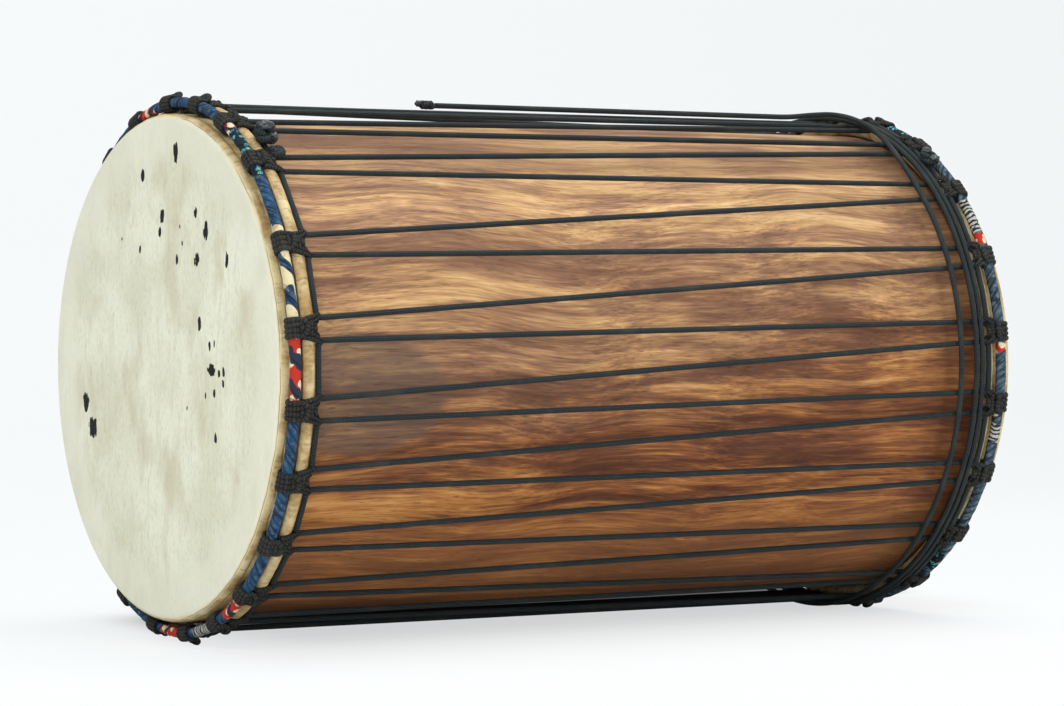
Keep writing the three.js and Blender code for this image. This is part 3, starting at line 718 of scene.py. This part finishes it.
ring_tree, values, given = new_tree("loops round a ring", {"Loop": "Object", "Unevenness": "Float",
                                                           "Lean": "Float", "Rope": "Material"})
turn = values.node("GeometryNodeInputNamedAttribute", {"Name": "turn"}, data_type="FLOAT")
facing = values.node("ShaderNodeCombineXYZ", {"X": turn * -1})
loop_shape = values.node("GeometryNodeObjectInfo", {"Object": given["Loop"]}, output="Geometry")
copies = values.node("GeometryNodeInstanceOnPoints", {"Points": given["Geometry"], "Instance": loop_shape,
                                                      "Rotation": facing})
copies = values.node("GeometryNodeRealizeInstances", {0: copies})
wobble = values.node("ShaderNodeTexNoise", {"Scale": 130.0, "Detail": 1.0}, output=1)
wobble = values.node("ShaderNodeVectorMath", {0: wobble, 1: (0.5, 0.5, 0.5)}, operation="SUBTRACT")
wobble = values.node("ShaderNodeVectorMath", {0: wobble, "Scale": given["Unevenness"]}, operation="SCALE")
y = values.node("ShaderNodeSeparateXYZ", {0: values.node("GeometryNodeInputPosition")}, output="Y")
across_share = (y - axis_y) / (2 * crown_ring_radius) + 0.5
askew = values.node("ShaderNodeCombineXYZ", {"X": across_share * given["Lean"]})
shift = values.node("ShaderNodeVectorMath", {0: wobble, 1: askew}, operation="ADD")
copies = values.node("GeometryNodeSetPosition", {"Geometry": copies, "Offset": shift})
end_tree(ring_tree, copies, given["Rope"])

for end in ("front", "back"):
    strands = []
    for offset in (-strand_apart, strand_apart):
        grid, lengths, turn = strand_grid(end, offset)
        strand = skin("strand", grid, loop_rope)
        lay = np.broadcast_to(turn[None], (len(lengths), len(turn)))
        mark_rope(strand.data, np.broadcast_to(lengths[:, None], lay.shape), np.cos(lay), np.sin(lay))
        strand.data.transform(Matrix.Translation((0, -axis_y, -axis_z)))
        strands.append(strand)
    hitch = bmesh.new()
    for strand in strands:
        hitch.from_mesh(strand.data)
    hitch_mesh = bpy.data.meshes.new("hitch")
    hitch.to_mesh(hitch_mesh)
    hitch.free()
    hitch_object = bpy.data.objects.new("hitch", hitch_mesh)
    scene.collection.objects.link(hitch_object)
    points = bpy.data.meshes.new("loop places")
    points.from_pydata([(0, axis_y, axis_z)] * loop_count, [], [])
    points.attributes.new("turn", "FLOAT", "POINT").data.foreach_set("value", np.radians(loop_angles[end]))
    loops = grown(end + "_hitched_loops", ring_tree, points,
                  {"Loop": hitch_object, "Unevenness": 0.0009, "Lean": -side[end] * ring_lean[end],
                   "Rope": loop_rope})
    for spent in (*strands, hitch_object):
        bpy.data.objects.remove(spent)
    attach(loops, "root")
    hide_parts(*[f"{end}_loop_{i + 1:02d}" for i in range(22)])

# The lacing: one long rope from loop to loop, down the drum and back, with a turn along the ring between each
# pair of lines. It is pulled so tight that its long lines and its runs along the rings are straight.
lacing_rope = rope_material("lacing rope", 0.35)
rope_tree, values, given = new_tree("rope on a path", {"Radius": "Float", "Sides": "Int", "Rope": "Material"})
path = values.node("GeometryNodeMeshToCurve", {0: given["Geometry"]})
reach = values.node("GeometryNodeSplineParameter", output="Length")
path = values.node("GeometryNodeStoreNamedAttribute", {"Geometry": path, "Name": "along", "Value": reach},
                   data_type="FLOAT", domain="POINT")
section = values.node("GeometryNodeCurvePrimitiveCircle", {"Resolution": given["Sides"],
                                                           "Radius": given["Radius"]})
turned_by = values.node("GeometryNodeSplineParameter", output="Factor") * math.tau
for key, operation in (("lay_cosine", "COSINE"), ("lay_sine", "SINE")):
    section = values.node("GeometryNodeStoreNamedAttribute", {"Geometry": section, "Name": key,
                          "Value": turned_by.math(operation)}, data_type="FLOAT", domain="POINT")
tube = values.node("GeometryNodeCurveToMesh", {"Curve": path, "Profile Curve": section, "Fill Caps": True})
end_tree(rope_tree, tube, given["Rope"])


def path_mesh(points, closed, strands=1):
    """A mesh of edges only, through the points of one strand or of several that are as long."""
    mesh = bpy.data.meshes.new("path")
    count = len(points) // strands
    edges = [(first + i, first + (i + 1) % count) for first in range(0, len(points), count)
             for i in range(count if closed else count - 1)]
    mesh.from_pydata([tuple(p) for p in points], edges, [])
    return mesh


def eased(points, closed, reach, steps=5):
    """The same path with its corners rounded, each over a reach to both sides."""
    soft = []
    count = len(points)
    for i, point in enumerate(points):
        if not closed and i in (0, count - 1):
            soft.append(point)
            continue
        arm = [points[(i + way) % count] - point for way in (-1, 1)]
        size = [min(reach, 0.45 * np.linalg.norm(a)) for a in arm]
        start, stop = (point + a / np.linalg.norm(a) * s for a, s in zip(arm, size))
        for t in np.linspace(0, 1, steps):
            soft.append((1 - t) ** 2 * start + 2 * t * (1 - t) * point + t * t * stop)
    return np.array(soft)


corner_spread, corner_bend, corner_ease = 0.0084, 0.003, 0.0016
line_dip, line_radius = 0.022, 0.2052


def place_x(end, inward):
    return side[end] * (half - ring_drop[end] - inward)


def corner(end, angle, sign):
    """Where the lacing turns from its run beside the ring to its line, on one side of a loop."""
    degrees = math.degrees(1 / crown_ring_radius)
    square = angle + sign * degrees * corner_spread
    turned_to = square + sign * degrees * corner_bend
    inward, outward = run_place[end]
    bend = [around(place_x(end, inward), crown_ring_radius + outward, turned_to),
            around(place_x(end, inward + corner_bend), crown_ring_radius + outward - seat_gap, square)]
    if end == "back":
        bend.append(around(place_x(end, line_dip), line_radius, square))
    return bend


route = []
for i in reversed(range(loop_count)):
    near = loop_angles["back"][i]
    far = loop_angles["back"][i - 1] if i else loop_angles["back"][-1] + 360
    inward, outward = run_place["back"]
    route += corner("front", loop_angles["front"][i], -1)
    route += corner("back", near, 1)[::-1]
    route.append(around(place_x("back", inward), crown_ring_radius + outward, (near + far) / 2))
    route += corner("back", far, -1)
    route += corner("front", loop_angles["front"][i], 1)[::-1]
route = np.array(route)
line_start, line_end = place_x("front", run_place["front"][0] + corner_bend), place_x("back", line_dip)
route = leaned("front", route, np.clip((line_end - route[:, 0]) / (line_end - line_start), 0, 1))
lacing = grown("long_lacing", rope_tree, path_mesh(eased(route, True, corner_ease), True),
               {"Radius": rope_radius, "Sides": rope_sides, "Rope": lacing_rope})
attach(lacing, "root")
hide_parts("lacing")

# The spare rope: what is left of the lacing after tuning, led along the top and wound round the back end over
# the lines, so that it is out of the way and can be let out again when the head is changed.
winding_radius, winding_ease = 0.2100, 0.012
lead = [  # degrees round, distance from the back face, height over the lines
    (177, 0.4445, 0), (176.4, 0.330, 0), (175.7, 0.2115, 0), (175, 0.098, 0), (174, 0.0778, 0.0026),
    (170, 0.0663, 0.0051), (164.5, 0.061, 0.0058), (158, 0.0575, 0.0051), (151, 0.0585, 0.0029),
    (144, 0.0606, 0.0012), (137, 0.0621, 0.0003)]
winding_from, winding_to, winding_step = 130, -861, -3.0
shift_from, shift_length = -135, 95  # each turn moves on to its next place over these degrees
turn_places = (0.0625, 0.0466, 0.0408, 0.0408)  # from the back face
turns = []
for degrees in np.arange(winding_from, winding_to, winding_step):
    turn = min(int((winding_from - degrees) // 360), len(turn_places) - 2)
    shift = min(max((shift_from - degrees - 360 * turn) / shift_length, 0), 1)
    away = turn_places[turn] + (turn_places[turn + 1] - turn_places[turn]) * shift * shift * (3 - 2 * shift)
    turns.append((degrees, away, 0))
winding_path = np.array([around(half - away, winding_radius + up, degrees)
                         for degrees, away, up in [*lead, *turns]])
winding = grown("wound_spare_rope", rope_tree, path_mesh(eased(winding_path, False, winding_ease), False),
                {"Radius": rope_radius, "Sides": rope_sides, "Rope": lacing_rope})
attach(winding, "root")
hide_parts("tail_winding")

# The knots: where the lacing's ends are joined, where the spare rope is tied off, and at the rope's very end.
# Each is the rope crossed over itself three times and drawn up hard, with its melted end standing out.
knot_points, knot_flatness = 96, 0.42
knot_rope = rope_material("knotted rope", 0.2)
melted, values, shader = new_material("melted rope end")
place = values.node("ShaderNodeTexCoord", output="Object")
drips = values.node("ShaderNodeTexNoise", {"Vector": place, "Scale": 420.0, "Detail": 3.0})
feed(shader, Base_Color=drips.fade(0.35, 0.7).blend((0.006, 0.008, 0.009), (0.035, 0.045, 0.048)),
     Roughness=0.16 + drips * 0.25, Specular_IOR_Level=0.45,
     Normal=values.node("ShaderNodeBump", {"Strength": 0.8, "Distance": 0.0008, "Height": drips}))


def knot_place(end, x, radius, degrees, points):
    """Points given along the drum, round it and outwards from it, set down at a place on one end's ropes."""
    out = np.array(around(0, 1, degrees) - (0, axis_y, axis_z))
    along_x = np.array([1.0, 0, 0])
    ways = np.stack([along_x, np.cross(out, along_x), out])
    return leaned(end, around(x, radius, degrees)) + np.array(points) @ ways


def overhand(size):
    """An overhand knot drawn up tight: a rope crossed over itself three times."""
    turn = np.linspace(0, 4 * math.pi, knot_points, endpoint=False)
    wide = size * (1 + 0.5 * np.cos(1.5 * turn))
    height = size * knot_flatness * np.sin(1.5 * turn)
    return np.stack([wide * np.cos(turn), wide * np.sin(turn), height], -1)


def add_bead(piece, centre, size):
    """A melted rope end, as a lumpy ball."""
    shape = bmesh.new()
    shape.from_mesh(piece.data)
    ball = bmesh.ops.create_icosphere(shape, subdivisions=4, radius=1.0)["verts"]
    for vert in ball:
        lump = 1 + 0.22 * noise.noise(vert.co * 1.6 + Vector(centre) * 90) + 0.07 * noise.noise(vert.co * 5)
        vert.co = Vector(centre) + Vector(part * way for part, way in zip(vert.co * lump, size))
    for face in {face for vert in ball for face in vert.link_faces}:
        face.material_index, face.smooth = 1, True
    shape.to_mesh(piece.data)
    shape.free()
    piece.data.materials.append(melted)


# Each knot's overhands are given by their place and size, and its beads by their place in it and half sizes.
for name, node, end, rope, overhands, beads in (
        ("joint_knot_rope", "joint_knot", "front", 0.0027,
         [((-half + 0.0281, 0.2118, 146.5), 0.0050), ((-half + 0.0311, 0.2092, 141.6), 0.0030)],
         [((0.0005, 0.0045, 0.0048), (0.0074, 0.0066, 0.0054)),
          ((0.003, -0.0065, 0.0030), (0.0036, 0.0038, 0.0034))]),
        ("winding_knot_rope", "winding_knot", "back", 0.0024, [((half - 0.0336, 0.2155, 143), 0.0044)],
         [((-0.001, 0.0058, 0.0028), (0.0045, 0.0040, 0.0038)),
          ((0.001, -0.0052, 0.0026), (0.0050, 0.0042, 0.0036))]),
        ("top_knot_rope", "top_knot", "back", 0.0021, [((half - 0.4527, 0.2103, 177), 0.0038)],
         [((-0.0075, 0, 0.0010), (0.0030, 0.0026, 0.0026))])):
    path = np.concatenate([knot_place(end, *spot, overhand(size)) for spot, size in overhands])
    knot = grown(name, rope_tree, path_mesh(path, True, len(overhands)),
                 {"Radius": rope, "Sides": rope_sides, "Rope": knot_rope})
    for spot, bead_size in beads:
        add_bead(knot, knot_place(end, *overhands[0][0], spot), bead_size)
    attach(knot, "root")
    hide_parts(node)
